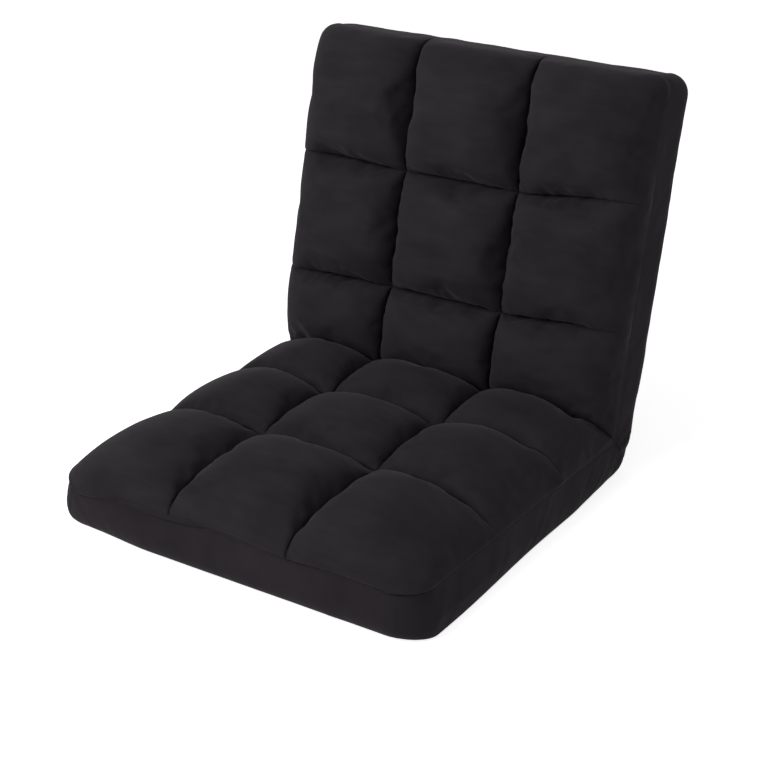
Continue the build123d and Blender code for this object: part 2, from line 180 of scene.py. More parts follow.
# %% [markdown]
# ## The studio
#
# The chair stands in a white room. Black cloth in a room that really is that bright would turn
# grey, so the whiteness is for the picture only: the floor glows a little towards the camera and
# the world is white there, while the cloth is lit by a grey sky and three soft lamps. The floor
# still takes the light of those lamps, so the thin shadow under the pad stays.

# %% Floor
floor_level = -0.0006  # just under the pad, so that no two faces lie in one plane
bpy.ops.object.select_all(action="DESELECT")
bpy.ops.mesh.primitive_plane_add(size=40, location=(0, 0, floor_level))
floor = bpy.context.object
floor.name = "studio_floor"
floor_material, floor_shader, _ = new_material(
    "studio_floor_white", Roughness=0.9, Base_Color=colour(0.86, 0.86, 0.86), Emission_Strength=1.0
)
floor_glow = 0.75
glow = in_picture(floor_material.node_tree) * floor_glow
plug(floor_shader, Emission_Color=glow.mix(colour(0, 0, 0), colour(1, 1, 1)))
floor.data.materials.append(floor_material)
print("floor", floor.name)

# %% World
world = bpy.data.worlds.new("studio_world")
bpy.context.scene.world = world
world.use_nodes = True
sky = world.node_tree.nodes["Background"]
sky_light = 0.23
strength = sky_light + (1 - sky_light) * in_picture(world.node_tree)
world.node_tree.links.new(strength.socket, sky.inputs["Strength"])
sky.inputs["Color"].default_value = colour(1.0, 1.0, 1.0)
print("sky light", sky_light)


# %% Lamps
def softbox(name, place, aim, size, watts):
    """A square lamp that looks at a point."""
    lamp = bpy.data.lights.new(name, "AREA")
    lamp.size = size
    lamp.energy = watts
    holder = bpy.data.objects.new(name, lamp)
    holder.location = place
    holder.rotation_euler = (Vector(aim) - Vector(place)).to_track_quat("-Z", "Y").to_euler()
    bpy.context.collection.objects.link(holder)


softbox("key_lamp", (-0.95, -1.75, 1.7), (0, 0, 0.15), 1.6, 53)
softbox("fill_lamp", (2.0, -1.6, 1.2), (0, 0.1, 0.25), 1.8, 13)
softbox("top_lamp", (-0.2, -0.2, 2.6), (0, 0.1, 0.1), 1.4, 3)
bpy.context.scene.view_settings.view_transform = "Standard"
print("lamps", len(bpy.data.lights))

# %% [markdown]
# ## The black microfibre
#
# The quilt is a brushed microfibre, close to suede. It is nearly black when looked at straight on,
# and a soft grey bloom shows where the pile is seen from the side. The Principled shader's sheen
# is made for this. Slow clouds of tone stand for pile that lies one way or the other, and a very
# fine grain breaks the surface up. Along the stitches the colour is made almost black: this is painted
# shade, standing in for the shadow in the deep narrow grooves. The mesh will carry a value that is 1 there.

# %% Quilt fabric
quilt_cloth, quilt_shader, place = new_material(
    "black_microfibre",
    Sheen_Weight=0.05,
    Sheen_Roughness=0.42,
    Sheen_Tint=colour(0.90, 0.82, 0.94),
    Specular_IOR_Level=0.08,
)
brushed = place.stretched((1.0, 1.6, 1.6)).noise(16, 3.0)
strokes = place.stretched((0.35, 1.4, 1.4)).noise(70, 2.0)
grain = place.noise(1500, 1.0)
pile = (brushed * 0.55 + strokes * 0.25 + grain * 0.20).between(0.35, 0.65)
tone = pile.mix(colour(0.0120, 0.0102, 0.0126), colour(0.0205, 0.0178, 0.0214))
# painted shade: the quilt's colour goes almost black along the stitches, where the grooves lie in shadow
stitch_shade = place.add("ShaderNodeAttribute", {"attribute_name": "stitch_shade"}, out="Fac")
tone = (stitch_shade * 0.85).mix(tone, colour(0.0010, 0.0008, 0.0010))
plug(quilt_shader, Base_Color=tone, Roughness=0.78 + 0.18 * grain)
plug(quilt_shader, Normal=bump(grain * 0.7 + strokes * 0.6, 0.0006, 0.5))
print("made", quilt_cloth.name)

# %% [markdown]
# ## The plain cloth
#
# The strip round the sides and the panel underneath are the same cloth without wadding, a little
# browner, with the grain just showing.

# %% Plain cover fabric
plain_cloth, plain_shader, place = new_material(
    "black_plain_cloth",
    Sheen_Weight=0.04,
    Sheen_Roughness=0.45,
    Sheen_Tint=colour(0.94, 0.84, 0.88),
    Specular_IOR_Level=0.08,
)
clouds = place.noise(11, 3.0)
grain = place.noise(1300, 1.0)
tone = (clouds * 0.6 + grain * 0.4).between(0.35, 0.65)
tone = tone.mix(colour(0.0112, 0.0092, 0.0113), colour(0.0188, 0.0158, 0.0190))
plug(plain_shader, Base_Color=tone, Roughness=0.82 + 0.14 * grain)
plug(plain_shader, Normal=bump(grain + clouds * 0.5, 0.0005, 0.5))
print("made", plain_cloth.name)

# %% [markdown]
# ## The pad's two halves
#
# Seat and back are laid out alike, so each point of the cloth is described in its half's own
# terms: across the chair, away from the fold, and up towards the sitter. One function brings
# such a point into the chair's frame. At rest the halves stand at 102 degrees, and the plane
# half way between them is where the two rows of pillows beside the fold press on each other.

# %% Sizes of the pad
mm = 0.001
fold_axis = np.array((0.0, 252.5, 45.0)) * mm
lean_degrees = 12
lean = radians(lean_degrees)
crease_angle = radians(90 + lean_degrees) / 2
crease_slope = tan(crease_angle)
pad_depth = 45 * mm  # from the fold axis down to the panel
seam_half_width = 268 * mm
fold_seam = 14 * mm  # height of the seam beside the fold
channel_rise = 46 * mm
crown_rise = 88 * mm
pillow_height = crown_rise - channel_rise
column_channel = 89 * mm  # from the middle to a channel between two columns

halves = {  # for the seat and for the back
    "along": (np.array((0, -1.0, 0)), np.array((0, sin(lean), cos(lean)))),  # to the far edge
    "up": (np.array((0, 0, 1.0)), np.array((0, -cos(lean), sin(lean)))),  # to the sitter
    "channels": ((167 * mm, 314 * mm), (155 * mm, 319 * mm)),  # both cross channels, from the fold
    "seam_length": (498 * mm, 499 * mm),  # from the fold to the far seam
    "seam_radius": (40 * mm, 22 * mm),
    "edge_length": (514 * mm, 501 * mm),  # from the fold to the border's far edge
    "edge_radius": (46 * mm, 26 * mm),
    "far_seam": (8 * mm, 15 * mm),  # height of the far seam
    "felt_end": (485 * mm, 499 * mm),  # where the felt sheet inside ends
    "corner_dip": (12 * mm, 0.0),  # how much lower the far seam is at its left corner
    "side_seam": (14 * mm, 20 * mm),  # height of the side seams
    "fall_power": (2.3, 3.0),  # how squarely the far row falls to its seam
    "pillow": (2.3, 2.7),  # how square a pillow is
    "hold": ((0.85, 0.0), (0.88, 0.88)),  # how far the two channels fade out on the shoulder
    "shoulder": (1.6, 2.5),  # how square the shoulder is
    "fullness": ((0.88, 0.82, 0.58), (0.95, 0.95, 0.95)),  # of the three rows
    "sink": (12 * mm, 0.0),  # how much lower the stitches are at the far edge
    "edge_skew": (-0.036, -0.02),  # how far the border's far edge is out of square
    "seam_skew": (0.0, -0.02),  # the same for the far seam
    "corner_pull": (12 * mm, 0.0),  # how far the seam's left corner is pulled out
    "bows": (((-4 * mm, -8 * mm), (0.0, 6 * mm)), ((-2 * mm, 10 * mm), (4 * mm, 13 * mm))),
    "side_hem": (5 * mm, 12 * mm),  # how far the hem is turned in under the sides
    "far_hem": (18 * mm, 14 * mm),  # and under the far edge
    "hem_pull": (10 * mm, 0.0),  # and more at the left corner, times under_cut
    "under_cut": (0.55, 0.0),  # how much of the bulge is lost at the left corner
    "flare": (7 * mm, -1.2 * mm),  # how much further out the border is towards the far edge
    "seam_groove": (3.5 * mm, 1.5 * mm),  # how far the stitches draw the far seam in
}
Half = namedtuple("Half", halves)
seat, back = (Half(*values) for values in zip(*halves.values()))


def to_chair(half, across, away, rise):
    """Points of one half, brought into the chair's frame."""
    sideways = across[..., None] * np.array((1.0, 0, 0))
    return fold_axis + sideways + away[..., None] * half.along + rise[..., None] * half.up


def to_half(half, points):
    """The reverse: across, away and rise of points in the chair's frame."""
    offset = points - fold_axis
    return points[..., 0], offset @ half.along, offset @ half.up


print("crease angle", round(np.degrees(crease_angle), 1))

# %% [markdown]
# ## Rows of pillows
#
# Along each half run three rows. A row swells from one channel to the next like a full pillow:
# steep beside the stitches, flat on top. The last row also falls away to the seam at the far edge.
# The stations where the cloth has its threads are spaced evenly along that curve, so the steep
# walls of a channel get as many as the flat top.

# %% Stations along a half
Stations = namedtuple("Stations", "row share away swell fall")
fine_share = (1 - np.cos(np.linspace(0, pi, 4000))) / 2  # densest at both ends, where pillows are steep
far_crown_share = 0.40


def smooth(share):
    """From 0 to 1 with soft ends."""
    share = np.clip(share, 0, 1)
    return share * share * (3 - 2 * share)


def drop(share, power):
    """From 1 at share 0 down to 0 at share 1: flat at first, then steep."""
    return (1 - np.clip(share, 0, 1) ** power) ** (1 / power)


def even_steps(x, y, count):
    """Indices along a curve that split it into parts of about equal length."""
    run = np.concatenate(([0], np.cumsum(np.hypot(np.diff(x), np.diff(y)))))
    return np.searchsorted(run, np.linspace(0, run[-1], count + 1)).clip(0, len(x) - 1)


def row_stations(half, counts):
    """From the fold to the far edge: row, place in the row, place along, swell and fall."""
    first, last = half.channels
    far_crown = last + far_crown_share * (half.seam_length - last)
    share = fine_share
    spans = ((channel_rise / crease_slope, first), (first, last), (last, half.seam_length))
    found = []
    for row, (start, end) in enumerate(spans):
        away = start + share * (end - start)
        swell = drop(abs(2 * share - 1), half.pillow)
        fall = np.ones_like(away)
        if row == 2:
            swell = drop((far_crown - away) / (far_crown - last), half.pillow)
            fall = drop((away - far_crown) / (end - far_crown), half.fall_power)
        picks = even_steps(away, (channel_rise + pillow_height * swell) * fall, counts[row])
        for pick in picks[min(row, 1) :]:
            found.append((row, share[pick], away[pick], swell[pick], fall[pick]))
    return Stations(*np.array(found).T)


seat_stations = row_stations(seat, (34, 26, 36))
back_stations = row_stations(back, (32, 28, 34))
print("stations", len(seat_stations.row), len(back_stations.row))

# %% [markdown]
# ## Columns of pillows
#
# Across the chair there are three columns. The middle one is a full arch between two channels.
# The outer ones rise from a channel to their crown and then roll over a round shoulder down to
# the side seam. On the shoulder the cross channels fade out, because nothing is stitched there.

# %% Threads across the chair
Thread = namedtuple("Thread", "column side across inner reach")
crown_share = 0.44
crown_across = column_channel + crown_share * (seam_half_width - column_channel)
arch_spread = 2.6
shoulder_spread = 2.0
inner_count = 14
shoulder_count = 20
middle_count = 28


def outer_threads(column, side):
    """Threads of an outer column, from its channel over the crown to the side seam."""
    share = fine_share
    inner_x = column_channel + share * (crown_across - column_channel)
    inner_arch = drop(1 - share, arch_spread)
    shoulder_x = np.sin(share * pi / 2) ** (2 / shoulder_spread)
    shoulder_z = drop(shoulder_x, shoulder_spread)
    inner = even_steps(inner_x, inner_arch * pillow_height, inner_count)
    width = seam_half_width - crown_across
    height = crown_rise - fold_seam
    outer = even_steps(shoulder_x * width, shoulder_z * height, shoulder_count)
    made = [Thread(column, side, inner_x[i], share[i], 0.0) for i in inner[:-1]]
    made += [Thread(column, side, crown_across, 1.0, shoulder_x[i]) for i in outer]
    return made


middle_x = 2 * fine_share - 1
middle_arch = drop(abs(middle_x), arch_spread)
middle = even_steps(middle_x * column_channel, middle_arch * pillow_height, middle_count)[1:-1]
middle_threads = [Thread(1, 1, middle_x[i] * column_channel, 1 - abs(middle_x[i]), 0.0) for i in middle]
threads = outer_threads(0, -1)[::-1] + middle_threads + outer_threads(2, 1)
print("threads across", len(threads))

# %% [markdown]
# ### Filling
#
# No two pillows are filled alike: a seeded random generator gives each one its own fullness, the
# same on every run. Towards the seams the cloth must also cover the edge of the felt sheet inside,
# so its height there has a lower limit. Left means left in the picture.

# %% Values that change over the pad
fold_change = 130 * mm
left_start = 110 * mm
left_span = 120 * mm


def soft_least(a, b, width):
    """The smaller of two values, rounded where they cross."""
    return (a + b - np.sqrt((a - b) ** 2 + width**2)) / 2


def seam_edge(half, away):
    """Half the width between the side seams, which follow the round corners."""
    into_corner = np.clip(away - (half.seam_length - half.seam_radius), 0, half.seam_radius)
    return seam_half_width - half.seam_radius + np.sqrt(half.seam_radius**2 - into_corner**2)


def from_fold(start, end, away):
    """A value that changes from start at the fold to end a hand's width along the half."""
    return start + (end - start) * smooth(away / fold_change)


def far_share(half, away):
    """From 0 at the last channel to 1 at the far seam."""
    return smooth((away - half.channels[1]) / (half.seam_length - half.channels[1]))


def left_end(across):
    """From 0 in the middle of the far edge to 1 at its left corner."""
    return smooth((-across - left_start) / left_span)


print("half the seam's width at the far edge", round(seam_edge(seat, seat.seam_length) / mm), "mm")

# %% The quilt's points
chance = np.random.default_rng(7)
filling_spread = 0.06
slit = 2.2 * mm  # half the gap between the two rows beside the fold
slit_share = 0.12
slit_round = 5 * mm
scallop = 5 * mm
felt_cover = 20 * mm
fold_felt_cover = 28 * mm  # more, because the cloth slides there when the back folds
felt_edge = 30 * mm
cover_power = 8
corner_drop = 1.2
hold_start = 0.35
hold_span = 0.5


def thread_line(half, stations, thread, fullness):
    """Across and rise of one thread at each station."""
    row = stations.row.astype(int)
    hold = np.where(stations.away < sum(half.channels) / 2, *half.hold)
    held = hold * smooth((thread.reach - hold_start) / hold_span)
    swell = stations.swell + (1 - stations.swell) * held
    arch = drop(1 - thread.inner, from_fold(seat.pillow, half.pillow, stations.away))
    crown = channel_rise + pillow_height * fullness[row, thread.column]
    floor = channel_rise - half.sink * far_share(half, stations.away)
    rounded = 1 - corner_drop * (1 - swell) * (1 - arch)
    top = floor + (crown - floor) * swell * arch * np.clip(rounded, 0, 1)
    edge = seam_edge(half, stations.away)
    across = thread.side * (thread.across + thread.reach * (edge - thread.across))
    far = half.far_seam - half.corner_dip * left_end(across) + scallop * smooth(thread.inner)
    to_edge = (stations.away - half.felt_end) / felt_edge + 1
    far_cover = (felt_cover - far) * drop(to_edge, cover_power)
    level = far + np.maximum((top - far) * stations.fall, far_cover)
    seam = far + (from_fold(fold_seam, half.side_seam, stations.away) - far) * stations.fall
    stand = drop(thread.reach, from_fold(seat.shoulder, half.shoulder, stations.away))
    cover_rise = from_fold(fold_felt_cover, felt_cover, stations.away)
    to_side = (abs(across) - edge) / felt_edge + 1
    cover = (cover_rise - seam) * drop(to_side, cover_power) * stations.fall
    return across, seam + np.maximum(stand * (level - seam), cover)


def quilt_points(half, stations):
    """The top cloth of one half: across, away and rise for each station and thread."""
    spread = chance.uniform(-filling_spread, filling_spread, (3, 3))
    fullness = np.array(half.fullness)[:, None] + spread
    lines = [thread_line(half, stations, thread, fullness) for thread in threads]
    across = np.array([line[0] for line in lines]).T
    rise = np.array([line[1] for line in lines]).T
    away = np.repeat(stations.away[:, None], len(threads), axis=1)

    # Beside the fold the row starts on the plane between the halves and stays on its own side
    in_fold = stations.row == 0
    along_row = stations.share[in_fold][:, None]
    start = rise[0] / crease_slope
    away[in_fold] = start + along_row * (half.channels[0] - start)
    opening = np.clip(along_row / slit_share, 0, 1)
    limit = (away[in_fold] - slit * opening) * crease_slope
    rise[in_fold] = soft_least(rise[in_fold], limit, slit_round * opening)
    return across, away, rise


seat_quilt = quilt_points(seat, seat_stations)
back_quilt = quilt_points(back, back_stations)
print("seat points", seat_quilt[0].shape, "back points", back_quilt[0].shape)

# %% [markdown]
# ### Seams out of square
#
# So far the pad is straight. On the real one the channels bend on the outer pillows, the far edges
# are out of square, one corner of the seat is pulled out, and the stitches draw the far seam in.

# %% Pulled seams
bow_span = 160 * mm
bow_reach = 60 * mm


def bow(half, number, across):
    """How far a channel bends away from a straight line on the outer pillows."""
    side_bow = np.where(across < 0, *half.bows[number])
    return side_bow * smooth((abs(across) - column_channel) / bow_span)


def pulled(half, part):
    """The same points with the far seam pulled out of square, as it is on the real pad."""
    across, away, rise = part
    pull = (half.seam_skew * across + half.corner_pull * left_end(across)) * far_share(half, away)
    for number, channel in enumerate(half.channels):
        pull = pull + bow(half, number, across) * np.exp(-(((away - channel) / bow_reach) ** 2))
    return across, away + pull, rise


def tucked(half, seam):
    """Points of the seam drawn in by their stitches, most along the far edge."""
    across, away, rise = seam
    corner = np.clip((away - half.seam_length) / half.seam_radius + 1, 0, 1)
    depth = half.seam_groove * corner
    return across - np.sign(across) * depth * np.sqrt(1 - corner**2), away - depth * corner, rise


def with_seam(half, part):
    """The quilt's points with its seam drawn in."""
    made = [values.copy() for values in part]
    for edge in ((-1, slice(None)), (slice(None), 0), (slice(None), -1)):
        for values, moved in zip(made, tucked(half, [values[edge] for values in part])):
            values[edge] = moved
    return made


seat_top = to_chair(seat, *pulled(seat, with_seam(seat, seat_quilt)))
back_top = to_chair(back, *pulled(back, with_seam(back, back_quilt)))
quilt_rows = np.concatenate((seat_top[::-1], back_top[1:]))
row_count, thread_count = quilt_rows.shape[:2]
print("quilt grid", row_count, "by", thread_count)

# %% [markdown]
# ## The quilted top
#
# A plane with enough cuts is added first, and its points are then moved to the rows and columns
# worked out above.


# %% Cloth from a grid
def cloth_grid(name, points, material):
    """A grid primitive whose points are moved to a table of rows and threads."""
    rows, lines = points.shape[:2]
    bpy.ops.object.select_all(action="DESELECT")
    bpy.ops.mesh.primitive_grid_add(x_subdivisions=lines - 1, y_subdivisions=rows - 1, size=1)
    piece = bpy.context.object
    piece.name = name
    piece.data.name = name
    place_points(piece, points)
    piece.data.materials.append(material)
    bpy.ops.object.shade_smooth()
    return piece


def place_points(piece, points):
    piece.data.vertices.foreach_set("co", points.reshape(-1).astype(np.float32))
    piece.data.update()


def read_points(piece, kind="vertices", value="co"):
    values = np.zeros(len(piece.data.vertices) * 3, np.float32)
    getattr(piece.data, kind).foreach_get(value, values)
    return values.reshape(-1, 3).astype(float)


quilt = cloth_grid("quilted_top", quilt_rows, quilt_cloth)
print("quilt", len(quilt.data.vertices), "points")

# %% [markdown]
# ### Swelling
#
# Drawn curves are too even for a stuffed cover. A short cloth simulation puffs the grid up from
# inside while the stitched lines and the seam stay where they are. The cloth is a few percent
# larger than the shape it starts from, and that spare length gathers into puckers beside the
# stitches, as it does on the real quilt.

# %% Stitched lines
least_swell = 0.001
least_inner = 1e-6
stitch_reach = 0.55  # how far over the shoulder a cross channel is stitched
front_reach = 0.85  # the same for the seat's front channel
row_ends = np.concatenate((seat_stations.swell[::-1], back_stations.swell[1:])) < least_swell
row_ends[[0, -1]] = True
is_channel = np.array([thread.inner < least_inner for thread in threads])
on_top = np.array([thread.reach < stitch_reach for thread in threads])
stitched = (row_ends[:, None] & on_top[None, :]) | is_channel[None, :]
front_channel = np.flatnonzero(row_ends)[1]
stitched[front_channel] = [thread.reach < front_reach for thread in threads]
stitched[[0, -1], :] = True
stitched[:, [0, -1]] = True
crease_row = len(seat_stations.row) - 1
stitched[crease_row, :] = True
print("stitched points", int(stitched.sum()), "of", stitched.size)

# %% Swell the cloth
most_movement = 7 * mm
least_freedom = 0.12
far_hold = 75 * mm
shoulder_hold = 0.6
shoulder_start = 0.5
swell_steps = 20
cloth_settings = dict(
    vertex_group_mass="stitched",
    quality=8,
    mass=0.25,
    tension_stiffness=20,
    compression_stiffness=20,
    shear_stiffness=8,
    bending_stiffness=0.3,
    use_pressure=True,
    uniform_pressure_force=4,
    shrink_min=-0.03,  # the cloth is this much larger than its first shape
)


def far_freedom(half, stations):
    """How freely the cloth may move: less and less towards the far seam."""
    from_seam = smooth((half.seam_length - stations.away) / far_hold)
    return least_freedom + (1 - least_freedom) * from_seam


freedom = np.concatenate((far_freedom(seat, seat_stations)[::-1], far_freedom(back, back_stations)[1:]))
over_shoulder = np.array([thread.reach - shoulder_start for thread in threads]) / (1 - shoulder_start)
freedom = freedom[:, None] * (1 - shoulder_hold * smooth(over_shoulder))
pins = quilt.vertex_groups.new(name="stitched")
pins.add([int(i) for i in np.flatnonzero(stitched)], 1.0, "REPLACE")
swelling = quilt.modifiers.new("swelling", "CLOTH")
for name, value in cloth_settings.items():
    setattr(swelling.settings, name, value)
swelling.settings.effector_weights.gravity = 0
swelling.collision_settings.use_collision = False
swelling.point_cache.frame_end = swell_steps
for step in range(1, swell_steps + 1):
    bpy.context.scene.frame_set(step)
bpy.ops.object.modifier_apply(modifier="swelling")
bpy.context.scene.frame_set(1)
quilt.vertex_groups.clear()
moved = read_points(quilt) - quilt_rows.reshape(-1, 3)
distance = np.linalg.norm(moved, axis=1, keepdims=True)
print("moved", round(distance.mean() / mm, 2), "mm, at most", round(distance.max() / mm, 2))
moved *= np.minimum(1, most_movement * freedom.reshape(-1, 1) / np.maximum(distance, 1e-9))
quilt_rows = quilt_rows + moved.reshape(quilt_rows.shape)


# %% Keep each pillow on its own side
felt_beside = 12 * mm
side_reach = 0.7


def own_side(half, points, part, rows):
    """Points of one half held back from their channels, the felt and the plane of the fold."""
    across, away, rise = to_half(half, points)
    drawn_across, drawn_away, drawn_rise = with_seam(half, part)
    pull = pulled(half, part)[1] - part[1]
    away -= pull
    for row, (low, high) in enumerate(((0, half.channels[0]), half.channels)):
        inside = rows == row
        away[inside] = np.clip(away[inside], low, high)
    away[rows == 2] = np.maximum(away[rows == 2], half.channels[1])
    columns = np.array([thread.column for thread in threads])
    across[:, columns == 1] = np.clip(across[:, columns == 1], -column_channel, column_channel)
    across[:, columns == 0] = np.minimum(across[:, columns == 0], -column_channel)
    across[:, columns == 2] = np.maximum(across[:, columns == 2], column_channel)
    beside_felt = drawn_rise < felt_cover + felt_beside
    far_felt = beside_felt & (rows[:, None] == 2)
    away[far_felt] = np.maximum(away, drawn_away)[far_felt]
    side_felt = beside_felt & np.array([thread.reach > side_reach for thread in threads])
    outermost = np.sign(drawn_across) * np.maximum(abs(across), abs(drawn_across))
    across[side_felt] = outermost[side_felt]
    rise[side_felt] = np.maximum(rise, drawn_rise)[side_felt]
    away += pull
    beside_fold = rows == 0
    limit = away[beside_fold] * crease_slope
    rise[beside_fold] = np.minimum(rise[beside_fold], limit)
    return to_chair(half, across, away, rise)


seat_part = own_side(seat, quilt_rows[crease_row::-1], seat_quilt, seat_stations.row)
back_part = own_side(back, quilt_rows[crease_row:], back_quilt, back_stations.row)
quilt_rows = np.concatenate((seat_part[::-1], back_part[1:]))
place_points(quilt, quilt_rows)
print("quilt box", quilt_rows.reshape(-1, 3).min(0).round(3), quilt_rows.reshape(-1, 3).max(0).round(3))

# %% [markdown]
# ### Closing the pad
#
# A pillow is a closed bag. Its underside lies on the felt and is never seen, so it is one plain
# sheet: a rim just inside the seam, raised over the felt, and two lines further in that climb over
# the round space where the hinges turn.

# %% Underside of the quilt
felt_top = 19 * mm
hinge_room = 40 * mm
rim_inset = 1.5 * mm
over_hinge = 234 * mm


def underside(half, quilt_part):
    """Four points for each station: the two rims and two lines further in."""
    across, away, rise = (part[:, [0, 0, -1, -1]].copy() for part in quilt_part)
    across -= rim_inset * np.sign(across)
    across[:, 1] = np.maximum(across[:, 1], -over_hinge)
    across[:, 2] = np.minimum(across[:, 2], over_hinge)
    away = np.minimum(away, half.seam_length - 3 * rim_inset)
    rise = np.maximum(rise, np.minimum(felt_top, away * crease_slope))
    from_axis = np.hypot(away, rise)
    push = np.maximum(1, hinge_room / from_axis)
    push[:, [0, 3]] = 1
    return to_chair(half, across, away * push, rise * push)


under_seat = underside(seat, pulled(seat, seat_quilt))
under_back = underside(back, pulled(back, back_quilt))
under_rows = np.concatenate((under_seat[::-1], under_back[1:]))
print("underside", under_rows.shape)

# %% Close the bag
bag = bmesh.new()
bag.from_mesh(quilt.data)
bag.verts.ensure_lookup_table()
top = [[bag.verts[row * thread_count + line] for line in range(thread_count)] for row in range(row_count)]
under = [[bag.verts.new(point) for point in line] for line in under_rows]
for row in range(row_count - 1):
    this_row = [top[row][0], *under[row], top[row][-1]]
    next_row = [top[row + 1][0], *under[row + 1], top[row + 1][-1]]
    for line in range(len(this_row) - 1):
        bag.faces.new((this_row[line], this_row[line + 1], next_row[line + 1], next_row[line]))
for row in (0, -1):
    bag.faces.new(top[row] + under[row][::-1])
bmesh.ops.recalc_face_normals(bag, faces=bag.faces)
for face in bag.faces:
    face.smooth = True
print("faces", len(bag.faces))

# %% Crisp seam and channels
channel_crease = 0.4
crease = bag.edges.layers.float.new("crease_edge")
seam_ring = top[0] + [line[-1] for line in top[1:-1]] + top[-1][::-1] + [line[0] for line in top[-2:0:-1]]
for near, far in zip(seam_ring, seam_ring[1:] + seam_ring[:1]):
    edge = bag.edges.get((near, far))
    edge[crease] = 1.0
    edge.smooth = False
for line in np.flatnonzero(is_channel):
    for row in range(row_count - 1):
        bag.edges.get((top[row][line], top[row + 1][line]))[crease] = channel_crease
for row in np.flatnonzero(row_ends[1:-1]) + 1:
    for line in np.flatnonzero(on_top)[:-1]:
        bag.edges.get((top[row][line], top[row][line + 1]))[crease] = channel_crease
bag.to_mesh(quilt.data)
bag.free()
print("seam points", len(seam_ring))

# %% [markdown]
# ### Puckers
#
# After one subdivision the grid is fine enough for small puckers. They run away from the stitches
# and die out within a finger's width. A random line, read along the channel, decides where the
# cloth is gathered.


# %% Subdivide
def change(piece, kind, **settings):
    """Put a modifier on a piece and apply it."""
    bpy.ops.object.select_all(action="DESELECT")
    bpy.context.view_layer.objects.active = piece
    piece.select_set(True)
    modifier = piece.modifiers.new("change", kind)
    for name, value in settings.items():
        setattr(modifier, name, value)
    bpy.ops.object.modifier_apply(modifier=modifier.name)


change(quilt, "SUBSURF", levels=1, render_levels=1)
print("quilt", len(quilt.data.polygons), "faces")


# %% Puckers and painted shade beside the stitches
pucker_depth = 1.6 * mm
pucker_start = 3 * mm
pucker_fade = 11 * mm
pucker_wave = 9 * mm
small_wave = 5 * mm
small_wave_share = 0.6
pucker_half_width = 235 * mm
# painted shade along each line of stitches: its width, how far across it runs, and how it fades at the ends
shade_width = 2.2 * mm
shade_half_width = 255 * mm
shade_fade = 50 * mm
side_fade = 15 * mm
fold_across = np.array((0, sin(crease_angle), cos(crease_angle)))


def surface(piece):
    """A piece's points, their normals, and which of them lie on the back's side of the fold."""
    points = read_points(piece)
    normals = read_points(piece, "vertex_normals", "vector")
    return points, normals, (points - fold_axis) @ fold_across > 0


def waver(run, wavelength, seed):
    """A smooth random line between -1 and 1 along a run."""
    table = np.random.default_rng(seed).uniform(-1, 1, 4096)
    place = run / wavelength + 1000
    index = np.floor(place).astype(int)
    share = smooth(place - index)
    return table[index] * (1 - share) + table[index + 1] * share


def pucker(distance, run, seed):
    """Gathers that start just off a line of stitches and fade away from it."""
    near = distance / pucker_start
    fade = np.exp(-distance / pucker_fade) * near / (1 + near)
    return fade * (waver(run, pucker_wave, seed) + small_wave_share * waver(run, small_wave, seed + 1))


def groove_shade(distance):
    """How much painted shade the colour gets: 1 on a line of stitches, and less and less beside it."""
    return np.exp(-((distance / shade_width) ** 2))


points, normals, of_back = surface(quilt)
relief = np.zeros(len(points))
# painted shade: how much darker the colour is made along each channel, for the shadow in its groove
stitch_shade_value = np.zeros(len(points))
for half, mine, seed in ((seat, ~of_back, 20), (back, of_back, 60)):
    across, away, rise = to_half(half, points[mine])
    gathers = pucker(abs(abs(across) - column_channel), away, seed)
    channel_shade = groove_shade(abs(across) - column_channel)
    for number, channel in enumerate(half.channels):
        from_channel = away - channel - bow(half, number, across)
        on_pillow = abs(across) < pucker_half_width
        gathers += pucker(abs(from_channel), across, seed + 5 + 5 * number) * on_pillow
        shade_here = smooth((shade_half_width - abs(across)) / shade_fade)
        channel_shade = np.maximum(channel_shade, groove_shade(from_channel) * shade_here)
    relief[mine] = gathers * smooth((rise - half.side_seam) / side_fade)
    stitch_shade_value[mine] = channel_shade
# painted shade also along the crease where the seat and the back press together
stitch_shade_value = np.maximum(stitch_shade_value, groove_shade((points - fold_axis) @ fold_across))
quilt.data.attributes.new("stitch_shade", "FLOAT", "POINT").data.foreach_set("value", stitch_shade_value)
place_points(quilt, points + normals * relief[:, None] * pucker_depth)
print("deepest pucker", round(abs(relief).max() * pucker_depth / mm, 2), "mm")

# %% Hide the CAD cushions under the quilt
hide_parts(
    "seat_front_cushion",
    "seat_middle_cushion",
    "seat_rear_cushion",
    "back_lower_cushion",
    "back_middle_cushion",
    "back_upper_cushion",
)
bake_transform(quilt)

# %% [markdown]
# ## The border
#
# A plain strip of cloth goes all round the pad, from the quilt's seam out over the foam and under
# its round lower edge. It is drawn as one ring: for each point of the seam there is one section
# down to the hem. Round the fold the sections fan out, because the outside of the bend is longer
# than the inside, and there the strip gathers into folds.

# %% Sections of the border
edge_half_width = 271.5 * mm
fold_hem = 16 * mm
bulge_share = 0.39  # where the strip stands out furthest, from the hem up
fold_fan = 90 * mm
fold_pinch = 2.5 * mm
side_slope = 1.0
far_slope = 1.4
hem_power = 2.2
cut_reach = 120 * mm
cut_share = 0.4
shift_start = 0.45
flare_start = 200 * mm
flare_span = 220 * mm
section_turns = np.linspace(0, pi / 2, 7)
crease_away = fold_seam / crease_slope
sleeve_run = pad_depth * (pi / 2 - crease_angle)


def hem_line(away):
    """Where a side section ends: along the lower face, then round the outside of the fold."""
    from_crease = away - crease_away
    run = from_crease + (crease_away + sleeve_run) * smooth(from_crease / fold_fan)
    turn = crease_angle + pi + np.minimum(run, sleeve_run) / pad_depth
    round_fold = run < sleeve_run
    hem_away = np.where(round_fold, pad_depth * np.cos(turn), run - sleeve_run)
    return hem_away - away, np.where(round_fold, pad_depth * np.sin(turn), -pad_depth)


def undercut(bulge, seam, hem, amount):
    """The bulge moved by an amount towards a straight line from the seam to the hem."""
    return tuple(b + amount * (s + cut_share * (h - s) - b) for b, s, h in zip(bulge, seam, hem))


